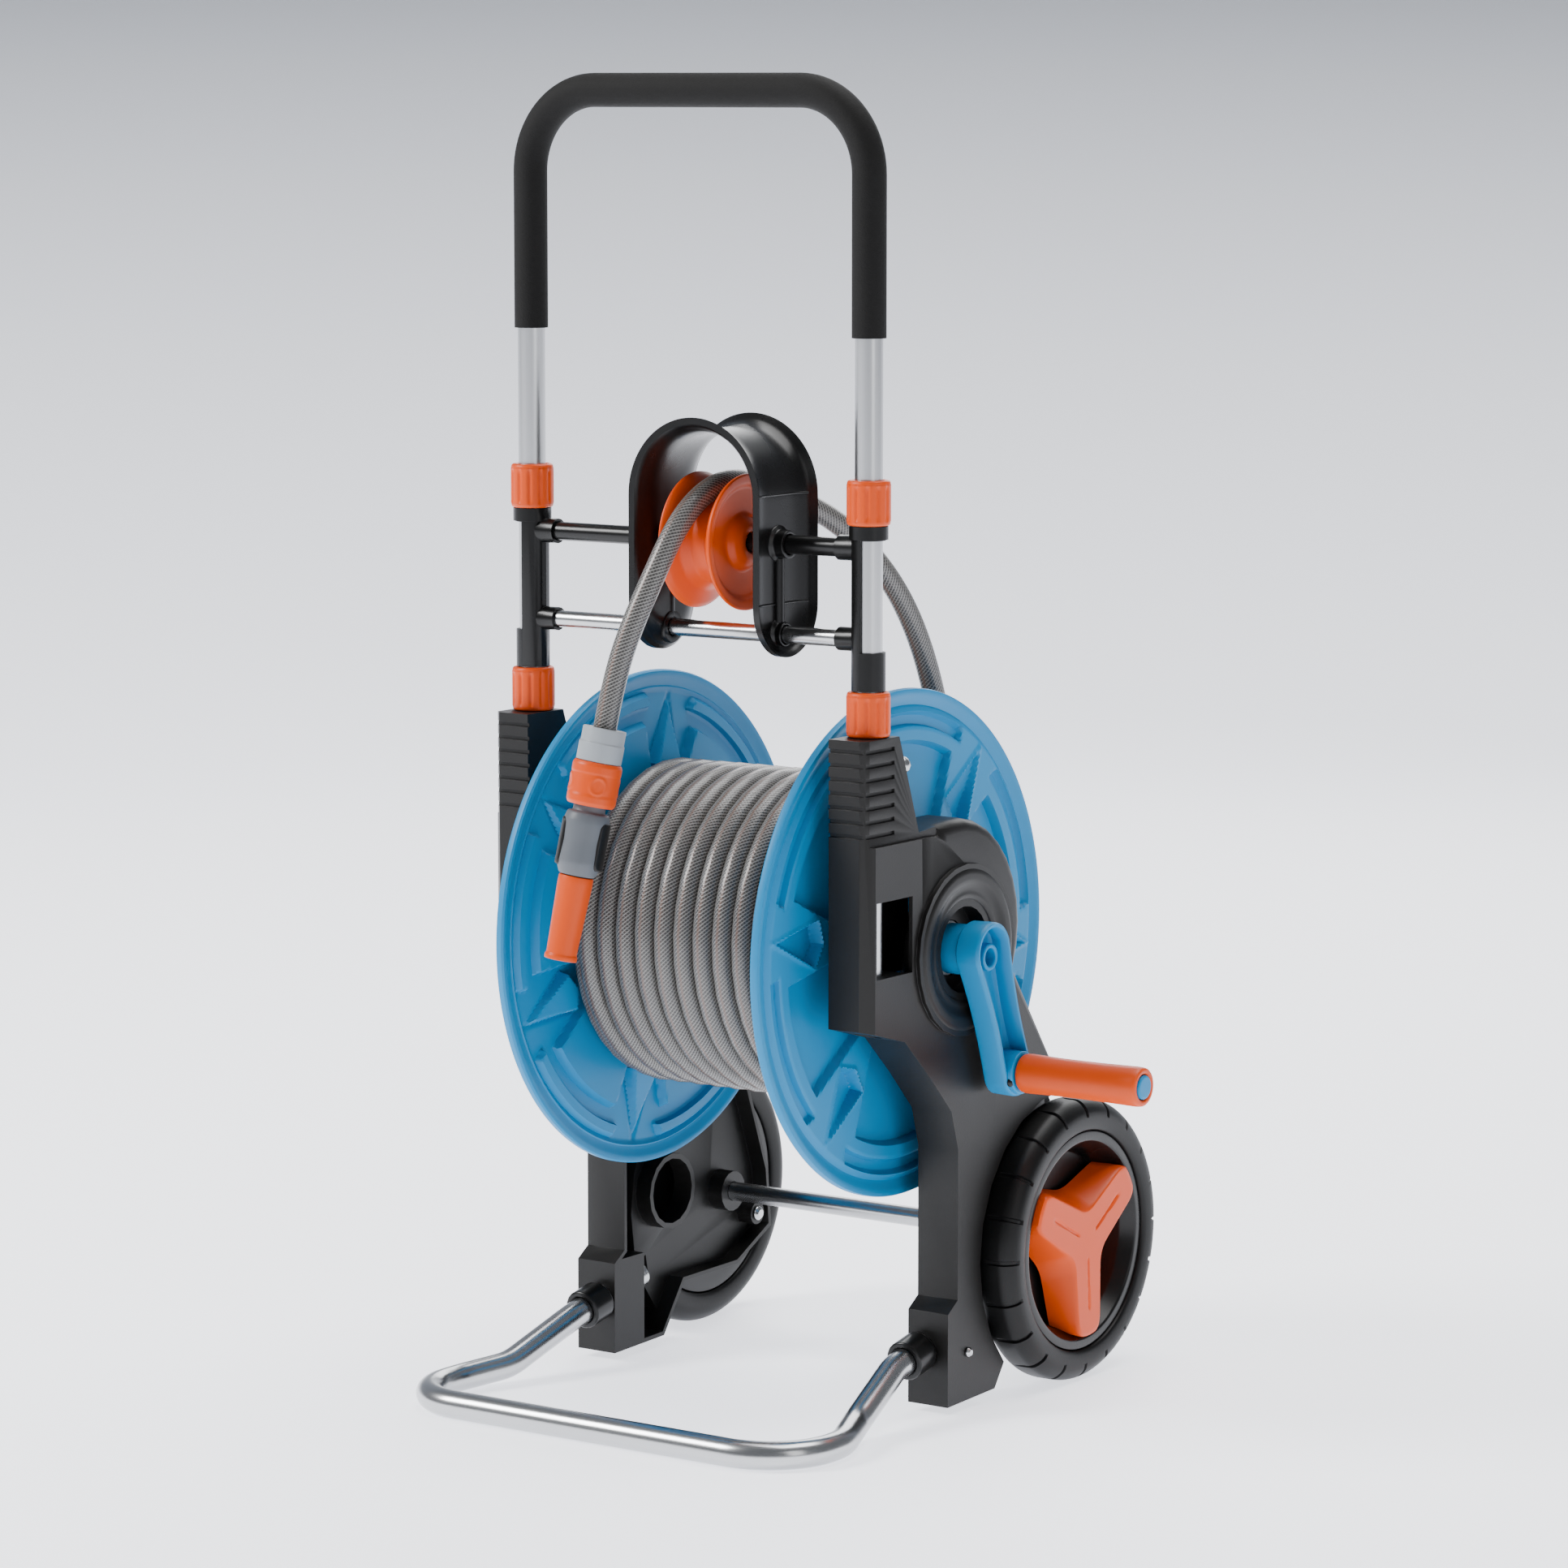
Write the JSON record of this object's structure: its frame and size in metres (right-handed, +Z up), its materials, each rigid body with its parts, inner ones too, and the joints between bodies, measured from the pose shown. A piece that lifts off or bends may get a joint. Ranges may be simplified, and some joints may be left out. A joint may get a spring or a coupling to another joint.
{
  "type": "hose reel cart",
  "caption": "Wheeled cart with a crank-wound hose drum between two moulded frames, a push handle, a sliding hose guide and a foot loop.",
  "frame": {"origin": "on the ground, under the middle of the cart's box without the hose", "axes": "+Z up, +X towards the crank, +Y towards the wheels, so the front with the foot loop faces -Y"},
  "size_m": [0.5056, 0.457, 0.9236],
  "materials": {
    "polished_steel": "polished",
    "satin_aluminium": "satin",
    "black_plastic": "fine texture",
    "foam_rubber": "matt foam",
    "tyre_rubber": "moulded",
    "blue_plastic": "fine texture",
    "orange_plastic": "semi-gloss",
    "grey_plastic": "satin",
    "pale_plastic": "satin",
    "hose_plastic": "clear wall over woven braid"
  },
  "bodies": {
    "chassis": {"side_frame_left": "black_plastic", "side_frame_right": "black_plastic", "drum_bush_left": "pale_plastic", "drum_bush_right": "pale_plastic", "foot_loop": "polished_steel", "foot_collar_left": "black_plastic", "foot_collar_right": "black_plastic", "wheel_axle": "polished_steel", "axle_cap_left": "polished_steel", "axle_cap_right": "polished_steel", "leg_bracket_left": "black_plastic", "leg_bracket_right": "black_plastic", "upper_bar": "black_plastic", "lower_bar": "polished_steel", "ball_stud_left": "polished_steel", "ball_stud_right": "polished_steel", "rear_screw_left": "polished_steel", "rear_screw_right": "polished_steel", "foot_screw_left": "polished_steel", "foot_screw_right": "polished_steel"},
    "handle": {"handle_tube": "satin_aluminium", "foam_grip": "foam_rubber", "leg_plug_left": "black_plastic", "leg_plug_right": "black_plastic"},
    "lower_collar_left_body": {"lower_collar_left": "orange_plastic"},
    "lower_collar_right_body": {"lower_collar_right": "orange_plastic"},
    "upper_collar_left_body": {"upper_collar_left": "orange_plastic"},
    "upper_collar_right_body": {"upper_collar_right": "orange_plastic"},
    "guide": {"guide_housing": "black_plastic", "hose_free": "hose_plastic", "hose_nut": "pale_plastic", "coupler_body": "grey_plastic", "coupler_pad_left": "black_plastic", "coupler_pad_right": "black_plastic"},
    "pulley_body": {"pulley": "orange_plastic"},
    "release_body": {"release_ring": "orange_plastic"},
    "nozzle_body": {"nozzle": "orange_plastic"},
    "drum": {"flange_left": "blue_plastic", "flange_right": "blue_plastic", "drum_core": "blue_plastic", "spindle_left": "blue_plastic", "spindle_right": "blue_plastic", "hose_winding": "hose_plastic", "drum_elbow": "grey_plastic", "crank_arm": "blue_plastic", "grip_spindle": "blue_plastic", "crank_screw": "black_plastic"},
    "grip_body": {"crank_grip": "orange_plastic"},
    "inlet": {"inlet_elbow": "grey_plastic", "inlet_seal": "foam_rubber", "inlet_tail": "orange_plastic"},
    "wheel_left": {"tyre_left": "tyre_rubber", "rim_left": "black_plastic", "spider_left": "orange_plastic"},
    "wheel_right": {"tyre_right": "tyre_rubber", "rim_right": "black_plastic", "spider_right": "orange_plastic"}
  },
  "joints": [
    {"name": "drum_spin", "type": "hinge", "parent": "chassis", "child": "drum", "pos_m": [-0.03425, -0.00154, 0.3252], "axis": [1, 0, 0], "continuous": true},
    {"name": "grip_spin", "type": "hinge", "parent": "drum", "child": "grip_body", "pos_m": [-0.03425, 0.03047, 0.23725], "axis": [1, 0, 0], "continuous": true},
    {"name": "wheel_left_spin", "type": "hinge", "parent": "chassis", "child": "wheel_left", "pos_m": [-0.03425, 0.12776, 0.1007], "axis": [1, 0, 0], "continuous": true},
    {"name": "wheel_right_spin", "type": "hinge", "parent": "chassis", "child": "wheel_right", "pos_m": [-0.03425, 0.12776, 0.1007], "axis": [1, 0, 0], "continuous": true},
    {"name": "handle_slide", "type": "slide", "parent": "chassis", "child": "handle", "axis": [0, 0, 1], "range_m": [-0.085, 0]},
    {"name": "lower_collar_left_twist", "type": "hinge", "parent": "chassis", "child": "lower_collar_left_body", "pos_m": [-0.17595, -0.09274, 0.4803], "axis": [0, 0, 1], "range_deg": [0, 90]},
    {"name": "lower_collar_right_twist", "type": "hinge", "parent": "chassis", "child": "lower_collar_right_body", "pos_m": [0.10745, -0.09274, 0.4803], "axis": [0, 0, 1], "range_deg": [0, 90]},
    {"name": "upper_collar_left_twist", "type": "hinge", "parent": "chassis", "child": "upper_collar_left_body", "pos_m": [-0.17595, -0.09274, 0.6226], "axis": [0, 0, 1], "range_deg": [0, 90]},
    {"name": "upper_collar_right_twist", "type": "hinge", "parent": "chassis", "child": "upper_collar_right_body", "pos_m": [0.10745, -0.09274, 0.6226], "axis": [0, 0, 1], "range_deg": [0, 90]},
    {"name": "guide_slide", "type": "slide", "parent": "chassis", "child": "guide", "axis": [1, 0, 0], "range_m": [-0.085, 0.02]},
    {"name": "pulley_spin", "type": "hinge", "parent": "guide", "child": "pulley_body", "pos_m": [-0.01225, -0.09274, 0.6068], "axis": [1, 0, 0], "continuous": true},
    {"name": "coupler_release", "type": "slide", "parent": "guide", "child": "release_body", "axis": [0.1147, 0.1772, 0.9775], "range_m": [-0.004, 0], "stiffness_N_per_m": 600, "springref_m": 0.004},
    {"name": "nozzle_twist", "type": "hinge", "parent": "guide", "child": "nozzle_body", "pos_m": [-0.04325, -0.18674, 0.485], "axis": [-0.1147, -0.1772, -0.9775], "range_deg": [0, 120]},
    {"name": "inlet_swivel", "type": "hinge", "parent": "chassis", "child": "inlet", "pos_m": [-0.03425, -0.00154, 0.3252], "axis": [1, 0, 0], "range_deg": [-90, 90]}
  ]
}
